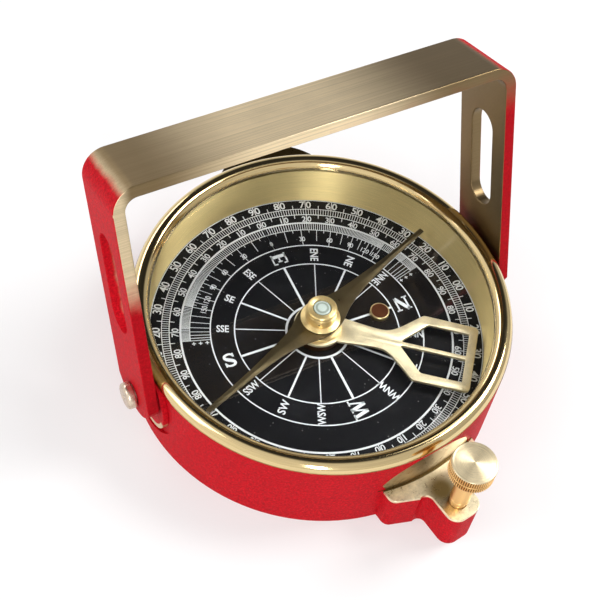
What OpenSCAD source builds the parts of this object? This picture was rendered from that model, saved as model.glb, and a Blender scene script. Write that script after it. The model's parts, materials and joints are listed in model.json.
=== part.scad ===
// Clinometer compass: cast round case with a front lug, folding bail, magnetic needle
// with a screw lifter, and a free pendulum for reading slopes.
// Frame: millimetres, z = 0 on the flat underside, +Z up through the needle pivot,
// +X along the bail's hinge line, -Y towards the lug with the thumb screw.

/* [Case] */
// outside radius of the cast case
case_r = 39.4; // [38.5:0.1:41]
// height of the painted wall, up to the bezel
case_h = 20.1; // [19.6:0.1:21.5]
// thickness of the case wall beside the dial
wall_t = 3.1; // [3:0.1:3.6]
// thickness of the case floor
floor_t = 2.4; // [2:0.1:2.6]
// height of the dial's printed face
dial_z = 8.8; // [8.6:0.1:9.2]
// width of the ledge that the dial plate lies on
ledge_w = 3.3; // [2.5:0.1:4]
// radius of the plain lobe at the back
lobe_r = 13.5; // [11:0.5:15]
// how far the back lobe stands out from the wall
lobe_out = 6.1; // [4.6:0.1:7.6]
// turn of the back lobe about the pivot, degrees from +Y towards +X
lobe_turn = 10.5; // [0:0.5:12]
// height of the back lobe
lobe_h = 17.6; // [12:0.1:18.5]

/* [Front lug] */
// turn of the lug about the pivot, degrees from -Y towards +X
lug_turn = 7.8; // [-10:0.1:10]
// height of the lug's milled top
lug_h = 10.6; // [9.8:0.1:11.2]
// tip to tip width of the lug's two wings
wing_w = 22.5; // [19:0.5:24]
// how far the wing tips' corners stand out from the wall
wing_out = 0.1; // [-0.2:0.1:1.1]
// sweep of the wings' front edges, degrees
wing_sweep = 19; // [12:1:24]
// corner radius of the wing tips
wing_corner = 1.8; // [0.6:0.1:2]
// width of the lug's nose
nose_w = 7.6; // [6.6:0.1:8]
// how far the nose reaches past the thumb screw
nose_out = 3.8; // [3.5:0.1:4]
// corner radius of the nose
nose_corner = 2.6; // [1.5:0.1:3]
// radius of the hollow between wing and nose
nose_fillet = 1.6; // [1.2:0.1:2.6]
// radius of the bare round field turned into the wall above the lug
field_r = 11.5; // [9:0.1:11.7]
// height of the painted strip left between that field and the bezel
field_edge = 0.5; // [0.4:0.1:1.6]
// how far the field's middle lies to the left of the lug's middle
field_shift = 1.2; // [0:0.1:1.5]
// depth of the field
field_t = 0.15; // [0.1:0.05:0.4]

/* [Bezel and glass] */
// radius of the bezel's half round section
bezel_round = 1.9; // [1.6:0.05:2.05]
// how far the bezel stays inside the case's outside
bezel_inset = 0.1; // [0.1:0.05:0.5]
// depth of the bezel's threaded skirt
skirt_h = 2.5; // [1.5:0.1:3]
// height of the bezel's lip above the case wall
lip_rise = 0.5; // [0.4:0.05:0.8]
// thickness of the glass
glass_t = 1.4; // [1.1:0.1:1.6]
// thickness of the thin ring over the glass
ring_h = 0.3; // [0.2:0.05:0.4]
// thickness of the spacer ring between dial and glass
spacer_t = 0.6; // [0.5:0.05:0.8]

/* [Dial and needle] */
// thickness of the dial plate
dial_t = 1; // [0.8:0.1:1.1]
// radius of the boss in the dial's middle
boss_r = 5; // [4.6:0.1:5.6]
// height of the boss above the dial
boss_h = 1.5; // [1.2:0.1:1.6]
// radius of the needle's pivot pin
pin_r = 0.7; // [0.6:0.05:0.75]
// distance from the needle's ends to the wall ring
needle_gap = 3.2; // [2.1:0.1:7.6]
// turn of the needle about the pivot, degrees from +X
needle_turn = 18.9; // [-180:0.1:180]
// thickness of the needle's blade
needle_t = 0.6; // [0.4:0.05:0.7]
// half width of the needle beside its hub
needle_w = 3; // [2:0.1:3.4]
// half width of the needle's square ends
tip_w = 0.55; // [0.4:0.05:0.8]
// height of the needle blade's underside above the dial
needle_rise = 4.7; // [4.6:0.05:4.8]
// outside radius of the needle cap
cap_r = 3.35; // [3:0.05:3.7]
// radius of the cap's flange on the blade
flange_r = 4.2; // [4:0.05:4.5]
// distance from the needle cap's top to the glass
cap_gap = 1.1; // [1.05:0.05:1.3]
// radius of the lens in the cap's top
lens_r = 1.9; // [1.5:0.05:2.1]

/* [Pendulum] */
// distance from the pendulum's end to the wall ring
pend_gap = 1.6; // [1:0.1:5.6]
// turn of the pendulum about the pivot, degrees from +X
pend_turn = -38.5; // [-180:0.1:180]
// thickness of the pendulum's plate
pend_t = 0.8; // [0.6:0.05:0.85]
// half width of the frame at its shoulders
pend_w = 8.2; // [7:0.1:9]
// half width of the narrow waist
pend_waist = 2.2; // [1.6:0.1:3]
// width of the frame's bars
pend_bar = 2.2; // [1.6:0.1:2.6]
// half width of the index bar
index_w = 0.45; // [0.3:0.05:0.7]
// radius of the collar that keeps the pendulum down
collar_r = 4.7; // [4.4:0.05:5.2]
// radius of the pendulum's hub
hub_r = 5.3; // [5:0.1:6]

/* [Needle lifter] */
// radius of the lifter sleeve round the pin
sleeve_r = 1.65; // [1.5:0.05:1.7]
// width of the lifter lever's outer arm
lever_w = 3.2; // [2.6:0.1:3.4]
// thickness of the lifter lever
lever_t = 1.2; // [1:0.05:1.3]
// distance from the lever's fulcrum to the dial's ledge
fulcrum_in = 4; // [3.5:0.1:5.5]
// radius of the fulcrum pin
fulcrum_r = 0.8; // [0.6:0.05:0.9]
// distance of the copper screw from the pivot
copper_v = 14.4; // [13.5:0.1:15.5]
// turn of the copper screw about the pivot, degrees from +X
copper_turn = -5; // [-15:0.5:10]
// radius of the copper screw's head
copper_r = 2.1; // [1.8:0.05:2.4]
// height of the copper screw's head
copper_h = 1.1; // [0.8:0.05:1.3]

/* [Thumb screw] */
// distance of the thumb screw from the case wall
thumb_out = 8; // [7.8:0.1:8.3]
// radius of the thumb screw's threaded shank
thumb_shank = 1.75; // [1.6:0.05:1.8]
// radius of the thumb screw's neck
neck_r = 1.95; // [1.9:0.05:2.5]
// radius of the knurled head
head_r = 4.5; // [4:0.05:5]
// height of the knurled head
head_h = 4.1; // [3.5:0.1:4.6]
// height of the head's underside above the ground
head_z = 22.6; // [21:0.1:24]
// number of knurl teeth
teeth = 60; // [36:2:72]
// depth of the knurl
knurl_t = 0.28; // [0.15:0.01:0.4]

/* [Bail] */
// width of the bail's flat strap
strap_w = 15.7; // [14:0.1:16.4]
// thickness of the strap
strap_t = 2.4; // [2:0.1:2.8]
// how far the bail's top is from the hinge, past the case's radius
bail_over = 12.4; // [11.6:0.1:15.6]
// outside radius of the bail's bends
bend_r = 5; // [4:0.1:7]
// lean of the bail, degrees from upright towards +Y
lean = 19.5; // [0:0.1:40]
// height of the hinge line
hinge_z = 12.5; // [12:0.1:12.8]
// width of the slots in the legs
slot_w = 7.1; // [5:0.1:8]
// length of the slots in the legs
slot_len = 22.2; // [14:0.1:24]
// distance of the slots' middle from the hinge
slot_mid = 27.3; // [25.5:0.1:28.5]
// radius of the rounded lower end of the legs
foot_r = 9; // [8.2:0.1:10]
// distance from the hinge to the lower end of the legs
foot_len = 4.4; // [4:0.1:5]
// depth of the milled hinge seats
seat_t = 1.2; // [1:0.05:1.5]
// half width of the milled hinge seats
seat_w = 10; // [9:0.1:10.5]
// radius of the round end of the spacers beside the legs
washer_r = 8.5; // [6:0.1:9]
// radius of the hinge screws' shoulders
shoulder_r = 1.95; // [1.7:0.05:2.1]
// radius of the hinge screws' threads
thread_r = 1.25; // [1:0.05:1.4]
// radius of the hinge screws' heads
bail_head_r = 2.8; // [2.5:0.05:3]
// height of the hinge screws' heads
bail_head_h = 1.85; // [1.5:0.05:2.2]

/* [Fits] */
// radial clearance of a shaft that turns or slides in a hole
run = 0.05; // [0.03:0.01:0.08]
// gap between faces that move past each other
gap = 0.3; // [0.28:0.01:0.32]

/* [Hidden] */
$fn = 96;
eps = 0.01;
bore_r = case_r - wall_t;
ledge_r = bore_r - ledge_w;
lobe_reach = case_r + lobe_out;
wing_v = case_r + wing_out;
thumb_v = case_r + thumb_out;
nose_reach = thumb_v + nose_out;
fulcrum_v = ledge_r - fulcrum_in;
lug_root = ledge_r - 3;
field_z = case_h - field_edge - field_r;
seat_x = case_r - seat_t;
bail_len = case_r + bail_over;
ledge_z = dial_z - dial_t;
ring_out = bore_r - 0.1;
ring_in = ring_out - spacer_t;
needle_len = ring_in - needle_gap;
pend_reach = ring_in - pend_gap;
glass_top = case_h + lip_rise - ring_h;
glass_z = glass_top - glass_t;
bezel_mid = case_r - bezel_inset - bezel_round;
skirt_in = bore_r + 0.1;
skirt_out = skirt_in + 0.9;
boss_top = dial_z + boss_h;
boss_body = 3.9;
chamber_r = 3.05;
chamber_z = 3.2;
chamber_top = 7.4;
pin_foot = 1.4;
window_w = 4.5;
window_h = 3.2;
pend_z = boss_top + gap;
collar_z = pend_z + pend_t + gap;
collar_h = 0.7;
neck_top = collar_z + collar_h;
neck_out = 2.4;
blade_z = dial_z + needle_rise;
cap_bot = blade_z - 0.5;
cap_z = glass_z - cap_gap;
cap_stem = 2.6;
lens_curve = 6.05;
lens_dip = 0.05;
lever_z = 3.7;
lever_mid = lever_z + lever_t / 2;
sleeve_z = lever_z + lever_t + gap;
sleeve_top = cap_bot - gap;
pad_z = lever_z + lever_t + gap;
pad_h = 0.8;
shank_z = pad_z + pad_h + gap;
channel_w = 2;
channel_end = thumb_v + 2;
lever_end = channel_end - 0.7;
fork_w = pin_r + gap;
channel_top = 7.4;
neck_z = lug_h + 0.9;
groove_h = 0.2;
groove_t = 0.3;
bevel_h = 0.35;
spacer_top = case_h - gap;
leg_in = case_r + gap;
leg_out = leg_in + strap_t;

// places children in the lug's own frame: its x runs across the lug, its -y out along the nose
module at_lug() { rotate([0, 0, lug_turn]) children(); }

// places children in the bail's own frame: its y is the strap's width, its z runs up the legs
module at_bail() { translate([0, 0, hinge_z]) rotate([-lean, 0, 0]) children(); }

// right half of the lug's outline, nose towards -y, with its convex corners and the hollow
// between wing and nose as true arcs
module lug_half() {
    cx = wing_w / 2 - wing_corner;
    tx = cx + wing_corner * sin(wing_sweep);
    ty = wing_v + wing_corner * cos(wing_sweep);
    fx = nose_w / 2 + nose_fillet;
    fy = ty + (tx - fx) * tan(wing_sweep) + nose_fillet / cos(wing_sweep);
    mx = fx + nose_fillet * sin(wing_sweep);
    my = fy - nose_fillet * cos(wing_sweep);
    nx = nose_w / 2 - nose_corner;
    ny = nose_reach - nose_corner;
    difference() {
        union() {
            polygon([[0, -lug_root], [wing_w / 2, -lug_root], [wing_w / 2, -wing_v], [cx, -wing_v], [tx, -ty],
                     [mx, -my], [nose_w / 2, -fy], [nose_w / 2, -ny], [nx, -ny],
                     [nx, -nose_reach], [0, -nose_reach]]);
            translate([cx, -wing_v]) circle(r = wing_corner);
            translate([nx, -ny]) circle(r = nose_corner);
        }
        translate([fx, -fy]) circle(r = nose_fillet);
    }
}

module lug_plan() {
    lug_half();
    mirror([1, 0]) lug_half();
}

// a round ended seat milled into the side of the case for one leg of the bail
module hinge_seat() {
    translate([seat_x, 0, hinge_z]) rotate([0, 90, 0]) cylinder(r = seat_w, h = 5);
    translate([seat_x, -seat_w, hinge_z]) cube([5, 2 * seat_w, case_h]);
}

// thin shell of the wall inside a round window above the lug, in the lug's frame
module wall_field() intersection() {
    difference() {
        translate([0, 0, lug_h]) cylinder(r = case_r + 2, h = field_z + field_r - lug_h);
        cylinder(r = case_r - field_t, h = case_h);
    }
    translate([-field_shift, -case_r / 2, field_z]) rotate([90, 0, 0]) cylinder(r = field_r, h = case_r);
}

module case_body() color([0.72, 0.05, 0.10]) {
    difference() {
        union() {
            cylinder(r = case_r, h = case_h);
            at_lug() linear_extrude(height = lug_h) lug_plan();
            rotate([0, 0, -lobe_turn]) translate([0, lobe_reach - lobe_r, 0]) cylinder(r = lobe_r, h = lobe_h);
        }
        translate([0, 0, floor_t]) cylinder(r = ledge_r, h = case_h);
        translate([0, 0, ledge_z]) cylinder(r = bore_r, h = case_h);
        translate([0, 0, case_h - skirt_h - 0.2]) cylinder(r = skirt_out + run, h = skirt_h + 1);
        hinge_seat();
        mirror([1, 0, 0]) hinge_seat();
        for (s = [0, 180]) rotate([0, 0, s])
            translate([bore_r - 1, 0, hinge_z]) rotate([0, 90, 0]) cylinder(r = thread_r + run, h = 8);
        at_lug() {
            wall_field();
            translate([-channel_w, -channel_end, floor_t])
                cube([2 * channel_w, channel_end - lug_root, channel_top - floor_t]);
            translate([0, -thumb_v, floor_t]) cylinder(r = thumb_shank + run, h = lug_h);
        }
        translate([0, 0, 0.8]) cylinder(r = 2.4 + run, h = floor_t);
    }
    // ears that hold the fulcrum pin
    at_lug() for (s = [-1, 1]) translate([s * (channel_w + gap + 0.75), -fulcrum_v, 0])
        difference() {
            translate([-0.75, -1.7, floor_t - 0.4]) cube([1.5, 3.4, lever_mid - floor_t + 2]);
            translate([-1, 0, lever_mid]) rotate([0, 90, 0]) cylinder(r = fulcrum_r, h = 2);
        }
    // post under the copper screw
    rotate([0, 0, copper_turn]) translate([copper_v, 0, floor_t - 0.4]) difference() {
        cylinder(r = 2.6, h = ledge_z - 0.3 - floor_t + 0.4);
        translate([0, 0, 1.6]) cylinder(r = 1.2 + run, h = 10);
    }
}

module bezel() color([0.80, 0.68, 0.42]) rotate_extrude() {
    difference() {
        union() {
            intersection() {
                translate([bezel_mid, case_h]) circle(r = bezel_round);
                translate([0, case_h]) square([case_r + 5, 10]);
            }
            translate([skirt_in, case_h - skirt_h]) square([0.9, skirt_h + 0.6]);
        }
        translate([0, case_h - 0.01]) square([skirt_in, lip_rise + 0.01]);
    }
}

module glass() color([0.85, 0.92, 0.95, 0.3])
    translate([0, 0, glass_z]) cylinder(r = ring_out, h = glass_t);

module glass_ring() color([0.75, 0.68, 0.50]) translate([0, 0, glass_top]) difference() {
    cylinder(r = ring_out, h = ring_h);
    translate([0, 0, -1]) cylinder(r = ring_in - 0.05, h = 3);
}

module spacer_ring() color([0.68, 0.58, 0.35]) translate([0, 0, dial_z]) difference() {
    cylinder(r = ring_out, h = glass_z - dial_z);
    translate([0, 0, -1]) cylinder(r = ring_in, h = case_h);
}

module dial_plate() color([0.03, 0.03, 0.04]) translate([0, 0, ledge_z]) difference() {
    cylinder(r = ring_out, h = dial_t);
    translate([0, 0, -1]) cylinder(r = boss_body + run, h = 4);
    rotate([0, 0, copper_turn]) translate([copper_v, 0, -1]) cylinder(r = 1.2 + run, h = 4);
}

module dial_screw() color([0.36, 0.16, 0.10]) rotate([0, 0, copper_turn])
    translate([copper_v, 0, 0]) difference() {
        union() {
            translate([0, 0, floor_t + 1.6]) cylinder(r = 1.2, h = dial_z - floor_t - 1.6);
            translate([0, 0, dial_z]) cylinder(r = copper_r, h = copper_h);
        }
        translate([-1.3, -0.2, dial_z + copper_h - 0.4]) cube([2.6, 0.4, 1]);
    }

// a leaf that presses the lever's inner arm down: a flat root under the dial and a sloping arm
module lever_spring() color([0.70, 0.70, 0.72]) {
    tip_v = 12;
    px = copper_v * cos(copper_turn);
    py = copper_v * sin(copper_turn);
    qx = tip_v * sin(lug_turn);
    qy = -tip_v * cos(lug_turn);
    len = norm([qx - px, qy - py]);
    drop = ledge_z - 0.3 - (lever_z + lever_t + gap);
    aim = atan2(qy - py, qx - px);
    difference() {
        translate([px, py, 0]) rotate([0, 0, aim]) {
            translate([0, 0, ledge_z - 0.3]) cylinder(r = 2.3, h = 0.3);
            translate([0, 1.5, 0]) rotate([90, 0, 0]) linear_extrude(height = 3)
                polygon([[1, ledge_z - 0.3], [3.2, ledge_z - 0.3], [len - 1.4, ledge_z - 0.3 - drop],
                         [len + 1.2, ledge_z - 0.3 - drop], [len + 1.2, ledge_z - drop],
                         [len - 1.4, ledge_z - drop], [3.2, ledge_z], [1, ledge_z]]);
        }
        translate([px, py, ledge_z - 3]) cylinder(r = 1.2 + run, h = 5);
    }
}

// turned boss with the lifter's chamber inside and a window towards the lug for the lever
module centre_boss() color([0.55, 0.33, 0.20]) difference() {
    spigot = 2.4;
    foot = 0.8;
    rotate_extrude() polygon([[0, foot], [spigot, foot], [spigot, floor_t], [boss_body, floor_t],
        [boss_body, dial_z], [boss_r, dial_z], [boss_r, boss_top], [neck_out, boss_top], [neck_out, neck_top],
        [sleeve_r + run, neck_top], [sleeve_r + run, chamber_top], [chamber_r, chamber_top],
        [chamber_r, chamber_z], [pin_r, chamber_z], [pin_r, pin_foot], [0, pin_foot]]);
    at_lug() translate([-window_w / 2, -2 * boss_body, chamber_z])
        cube([window_w, 2 * boss_body, window_h]);
}

module cylinder_between(r, z0, z1) translate([0, 0, z0]) cylinder(r = r, h = z1 - z0);

module pivot_pin() color([0.62, 0.62, 0.64]) {
    tip = cap_z - 1.7;
    point = 1.9;
    cylinder_between(pin_r, pin_foot, tip - point);
    translate([0, 0, tip - point]) cylinder(r1 = pin_r, r2 = 0.06, h = point);
}

module pendulum_collar() color([0.66, 0.56, 0.36]) difference() {
    cylinder_between(collar_r, collar_z, neck_top);
    cylinder_between(neck_out, collar_z - 1, neck_top + 1);
}

// the pendulum's arm and its open frame, drawn along +x
module pend_outline() {
    sh = pend_reach * 0.645;
    polygon([[3, -pend_waist - 0.9], [pend_reach * 0.30, -pend_waist], [pend_reach * 0.42, -pend_waist],
             [pend_reach * 0.53, -pend_waist - 1.9], [sh, -pend_w], [pend_reach - 1.5, -pend_w + 0.8],
             [pend_reach, -pend_w + 2.3], [pend_reach, pend_w - 2.3], [pend_reach - 1.5, pend_w - 0.8],
             [sh, pend_w], [pend_reach * 0.53, pend_waist + 1.9], [pend_reach * 0.42, pend_waist],
             [pend_reach * 0.30, pend_waist], [3, pend_waist + 0.9]]);
    for (s = [-1, 1]) translate([pend_reach - 1.5, s * (pend_w - 2.3)]) circle(r = 1.5);
}

module pend_window() {
    sh = pend_reach * 0.645;
    polygon([[pend_reach * 0.53, 0], [sh + 1.2, -pend_w + pend_bar], [pend_reach - pend_bar, -pend_w + pend_bar + 0.5],
             [pend_reach - pend_bar, pend_w - pend_bar - 0.5], [sh + 1.2, pend_w - pend_bar]]);
}

module pendulum() color([0.74, 0.64, 0.42]) rotate([0, 0, pend_turn]) translate([0, 0, pend_z]) difference() {
    linear_extrude(height = pend_t) {
        difference() {
            union() {
                circle(r = hub_r);
                pend_outline();
            }
            pend_window();
        }
        translate([pend_reach * 0.50, -index_w]) square([pend_reach * 0.47, 2 * index_w]);
    }
    translate([0, 0, -1]) cylinder(r = neck_out + run, h = 4);
}

module needle_blade() color([0.45, 0.37, 0.22]) rotate([0, 0, needle_turn]) translate([0, 0, blade_z]) difference() {
    union() {
        cylinder(r = 4.6, h = needle_t);
        for (s = [0, 180]) rotate([0, 0, s]) linear_extrude(height = needle_t)
            polygon([[0, -4.4], [3.4, -needle_w - 0.3], [8, -needle_w * 0.77], [15, -needle_w * 0.43],
                     [24, -tip_w - 0.3], [needle_len, -tip_w], [needle_len, tip_w], [24, tip_w + 0.3],
                     [15, needle_w * 0.43], [8, needle_w * 0.77], [3.4, needle_w + 0.3], [0, 4.4]]);
    }
    translate([0, 0, -1]) cylinder(r = cap_stem + run, h = 4);
}

module needle_cap() color([0.80, 0.66, 0.36]) rotate_extrude() difference() {
    polygon([[1.1, cap_bot], [cap_stem, cap_bot], [cap_stem, blade_z + needle_t], [flange_r, blade_z + needle_t],
             [flange_r, blade_z + needle_t + 0.3], [cap_r + 0.1, cap_z - 2.9], [cap_r, cap_z - 2.9],
             [cap_r, cap_z - 1.8], [cap_r - 0.35, cap_z - 1.7], [cap_r - 0.35, cap_z - 1.5],
             [cap_r - 0.2, cap_z - 1.4], [cap_r - 0.2, cap_z - 0.6], [cap_r - 0.7, cap_z],
             [lens_r, cap_z], [lens_r, cap_z - 0.7], [0, cap_z - 0.7], [0, cap_z - 1.3],
             [1.1, cap_z - 1.3]]);
}

module cap_jewel() color([0.60, 0.08, 0.14]) difference() {
    cylinder_between(1.1, cap_z - 3.4, cap_z - 1.3);
    translate([0, 0, cap_z - 3.41]) cylinder(r1 = 0.98, r2 = 0.12, h = 1.99);
}

module cap_lens() color([0.85, 0.92, 0.90, 0.6]) intersection() {
    cylinder_between(lens_r, cap_z - 0.7, cap_z + 1);
    translate([0, 0, cap_z + lens_dip - lens_curve]) sphere(r = lens_curve);
}

module lifter_sleeve() color([0.70, 0.58, 0.34]) difference() {
    union() {
        cylinder_between(sleeve_r, sleeve_z, sleeve_top);
        cylinder_between(2.7, sleeve_z, sleeve_z + 0.7);
    }
    cylinder_between(pin_r + 0.08, sleeve_z - 1, sleeve_top + 1);
}

module lifter_lever() color([0.66, 0.55, 0.32]) at_lug() difference() {
    union() {
        translate([-lever_w / 2, -lever_end, lever_z]) cube([lever_w, lever_end - fulcrum_v, lever_t]);
        translate([-channel_w, -fulcrum_v, lever_z]) cube([2 * channel_w, fulcrum_v + fork_w, lever_t]);
        translate([-channel_w, -fulcrum_v, lever_mid]) rotate([0, 90, 0])
            cylinder(r = fulcrum_r + 0.75, h = 2 * channel_w);
    }
    translate([-fork_w, -2 * fork_w, lever_z - 1]) cube([2 * fork_w, 4 * fork_w, lever_t + 2]);
    translate([-3, -fulcrum_v, lever_mid]) rotate([0, 90, 0]) cylinder(r = fulcrum_r + run, h = 6);
}

module fulcrum_pin() color([0.62, 0.62, 0.64]) at_lug()
    translate([-channel_w - gap - 1.5, -fulcrum_v, lever_mid]) rotate([0, 90, 0])
        cylinder(r = fulcrum_r, h = 2 * (channel_w + gap + 1.5));

module screw_pad() color([0.70, 0.58, 0.34]) at_lug() translate([0, -thumb_v, 0]) {
    cylinder_between(1.5, pad_z, pad_z + pad_h);
    cylinder_between(0.7, pad_z + pad_h - eps, shank_z + 2);
}

// one band of straight knurling between two heights
module knurl_band(z0, z1) translate([0, 0, z0]) linear_extrude(height = z1 - z0)
    polygon([for (i = [0 : 2 * teeth - 1]) (i % 2 == 0 ? head_r : head_r - knurl_t)
        * [cos(i * 180 / teeth), sin(i * 180 / teeth)]]);

// head with two knurled bands, a groove between them and bevelled rims
module thumb_screw() color([0.80, 0.64, 0.36]) at_lug() translate([0, -thumb_v, 0]) difference() {
    split = head_z + head_h / 2;
    top = head_z + head_h;
    union() {
        cylinder_between(thumb_shank, shank_z, neck_z + eps);
        translate([0, 0, neck_z]) cylinder(r1 = thumb_shank, r2 = neck_r, h = 0.4);
        cylinder_between(neck_r, neck_z + 0.4 - eps, head_z + eps);
        translate([0, 0, head_z]) cylinder(r1 = head_r - knurl_t - bevel_h, r2 = head_r - knurl_t, h = bevel_h);
        knurl_band(head_z + bevel_h - eps, split - groove_h / 2);
        cylinder_between(head_r - groove_t, split - groove_h, split + groove_h);
        knurl_band(split + groove_h / 2, top - bevel_h + eps);
        translate([0, 0, top - bevel_h]) cylinder(r1 = head_r - 0.05, r2 = head_r - 0.2, h = bevel_h);
        translate([0, 0, top - eps]) cylinder(r1 = head_r - 0.25, r2 = 0.05, h = 0.25);
    }
    translate([0, 0, shank_z - 1]) cylinder(r = 0.7 + run, h = 3 + 0.3 + run);
}

// the strap bent into a U, drawn flat in x and height
module bail_profile(side, top, r) {
    translate([-side, -foot_r]) square([2 * side, top - r + foot_r]);
    translate([-side + r, 0]) square([2 * (side - r), top]);
    for (s = [-1, 1]) translate([s * (side - r), top - r]) circle(r = r);
}

module bail() color([0.62, 0.52, 0.33]) at_bail() difference() {
    span = leg_out + 1;
    foot_mid = foot_r - foot_len;
    intersection() {
        translate([0, strap_w / 2, 0]) rotate([90, 0, 0]) linear_extrude(height = strap_w) difference() {
            bail_profile(leg_out, bail_len, bend_r);
            bail_profile(leg_in, bail_len - strap_t, bend_r - strap_t);
        }
        union() {
            translate([-span, 0, foot_mid]) rotate([0, 90, 0]) cylinder(r = foot_r, h = 2 * span);
            translate([-span, -strap_w, foot_mid]) cube([2 * span, 2 * strap_w, bail_len]);
        }
    }
    translate([-span, 0, 0]) rotate([0, 90, 0]) cylinder(r = shoulder_r + run, h = 2 * span);
    for (s = [-1, 1]) translate([-span, 0, slot_mid + s * (slot_len - slot_w) / 2]) rotate([0, 90, 0])
        cylinder(r = slot_w / 2, h = 2 * span);
    translate([-span, -slot_w / 2, slot_mid - (slot_len - slot_w) / 2]) cube([2 * span, slot_w, slot_len - slot_w]);
}

module bail_screw() translate([0, 0, hinge_z]) rotate([0, 90, 0]) difference() {
    union() {
        cylinder_between(thread_r, bore_r + 0.1, leg_in - gap + eps);
        cylinder_between(shoulder_r, leg_in - gap, leg_out + gap + eps);
        translate([0, 0, leg_out + gap]) cylinder(r = bail_head_r, h = bail_head_h - 0.7);
        translate([0, 0, leg_out + gap + bail_head_h - 0.71]) cylinder(r1 = bail_head_r, r2 = bail_head_r - 1.0, h = 0.71);
    }
    translate([0, 0, leg_out + gap + bail_head_h - 0.8]) cylinder(r = 0.45, h = 2);
}

module bail_screws() color([0.78, 0.68, 0.48]) {
    bail_screw();
    mirror([1, 0, 0]) bail_screw();
}

// plate between the case's seat and one leg, its round end down and cut level under the bezel
module bail_spacer() difference() {
    translate([seat_x, 0, hinge_z]) rotate([0, 90, 0]) cylinder(r = washer_r, h = leg_in - gap - seat_x);
    translate([seat_x - 1, 0, hinge_z]) rotate([0, 90, 0]) cylinder(r = thread_r + run, h = 5);
    translate([seat_x - 1, -washer_r - 1, spacer_top]) cube([5, 2 * washer_r + 2, washer_r]);
}

module bail_spacers() color([0.82, 0.66, 0.36]) {
    bail_spacer();
    mirror([1, 0, 0]) bail_spacer();
}

case_body();
bezel();
glass();
glass_ring();
spacer_ring();
dial_plate();
dial_screw();
lever_spring();
centre_boss();
pivot_pin();
pendulum_collar();
pendulum();
needle_blade();
needle_cap();
cap_jewel();
cap_lens();
lifter_sleeve();
lifter_lever();
fulcrum_pin();
screw_pad();
thumb_screw();
bail();
bail_screws();
bail_spacers();
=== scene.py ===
import json
from contextlib import contextmanager
from functools import lru_cache, partialmethod
from math import atan, atan2, cos, degrees, pi, radians, sin

import bmesh
import bpy
import numpy as np
from bpy.props import FloatProperty, FloatVectorProperty, IntProperty, PointerProperty
from bpy.types import Operator, Panel, PropertyGroup
from mathutils import Matrix, Vector


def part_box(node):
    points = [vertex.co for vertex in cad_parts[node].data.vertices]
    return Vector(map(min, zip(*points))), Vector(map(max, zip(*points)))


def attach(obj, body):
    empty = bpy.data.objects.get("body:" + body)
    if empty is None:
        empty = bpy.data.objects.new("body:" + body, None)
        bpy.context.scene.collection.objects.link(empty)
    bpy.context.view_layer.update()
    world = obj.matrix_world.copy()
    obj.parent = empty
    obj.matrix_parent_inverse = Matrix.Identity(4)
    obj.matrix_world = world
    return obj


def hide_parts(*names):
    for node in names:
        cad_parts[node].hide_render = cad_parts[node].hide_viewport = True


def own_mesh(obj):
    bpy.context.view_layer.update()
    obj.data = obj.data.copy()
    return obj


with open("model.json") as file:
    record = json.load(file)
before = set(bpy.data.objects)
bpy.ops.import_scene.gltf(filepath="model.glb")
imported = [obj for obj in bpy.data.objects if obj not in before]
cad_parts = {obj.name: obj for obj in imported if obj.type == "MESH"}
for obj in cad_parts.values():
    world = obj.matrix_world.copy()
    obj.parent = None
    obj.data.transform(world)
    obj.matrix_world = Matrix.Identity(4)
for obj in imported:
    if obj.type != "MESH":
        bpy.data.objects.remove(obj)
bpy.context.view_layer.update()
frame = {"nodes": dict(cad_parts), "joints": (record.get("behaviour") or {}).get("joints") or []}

bl_info = {
    "name": "Clinometer Compass Finish",
    "version": (1, 0, 0),
    "blender": (4, 5, 0),
    "location": "View3D > Sidebar > Compass",
    "description": "Dresses the packed clinometer compass with detailed pieces and finishes",
    "category": "Object",
}

MM = 0.001
TURN = 2 * pi


def joint_place(name):
    """Where a joint's axis passes, in millimetres."""
    joint = next(j for j in frame["joints"] if j["name"] == name)
    return np.array(joint["pos_m"]) / MM


def reach(node):
    """Lowest and highest corner of a CAD node, in millimetres."""
    return np.array(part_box(node)) / MM


def levels(node):
    """Lowest and highest point of a CAD node, in millimetres."""
    return reach(node)[:, 2]


DIAL_Z = levels("dial_plate")[1]
HINGE_Z = joint_place("bail_fold")[2]
THUMB = joint_place("screw_turn")
THUMB_TOP = levels("thumb_screw")[1] - 0.2
RING_R = reach("spacer_ring")[1][0]
LEG_OUT = reach("bail")[1][0]
# the case's radius, the lug's height, the line in front of which all is lug, and the left end of
# the brass field above it, in millimetres
CASE_R, LUG_H, LUG_Y, FIELD_X = 39.4, 10.6, -30.0, -6.0
HEAD_H = 1.85  # of a hinge screw
HEAD_IN = LEG_OUT + 0.3
HUB_R, FLOOR_SIDE = 5.3, 1500.0
NEEDLE_LENGTH, NEEDLE_RISE = 33.1, 1.1
LEAN, NEEDLE_TURN, PENDULUM_TURN = radians(19.5), radians(19.7), radians(-38.9)
# radii of the printed circles, from the rim inwards
RIM, DEGREES_OUT, DEGREES_IN, SLOPE_OUT, SLOPE_IN = 35.45, 32.95, 31.35, 29.0, 27.05
ROSE, SPOKE_OUT, SPOKE_IN = 22.75, 17.64, 6.67


# ---- sizes and colours a user may change


def angle(name, text, value):
    """An angle, given in degrees."""
    return FloatProperty(name=name, description=text, default=radians(value), subtype="ANGLE", unit="ROTATION")


def length(name, text, value, low, high):
    """A length in metres."""
    return FloatProperty(name=name, description=text, default=value, min=low, max=high, unit="LENGTH")


def tint(name, text, value):
    """A colour."""
    return FloatVectorProperty(name=name, description=text, default=value, subtype="COLOR", min=0.0, max=1.0)


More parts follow.
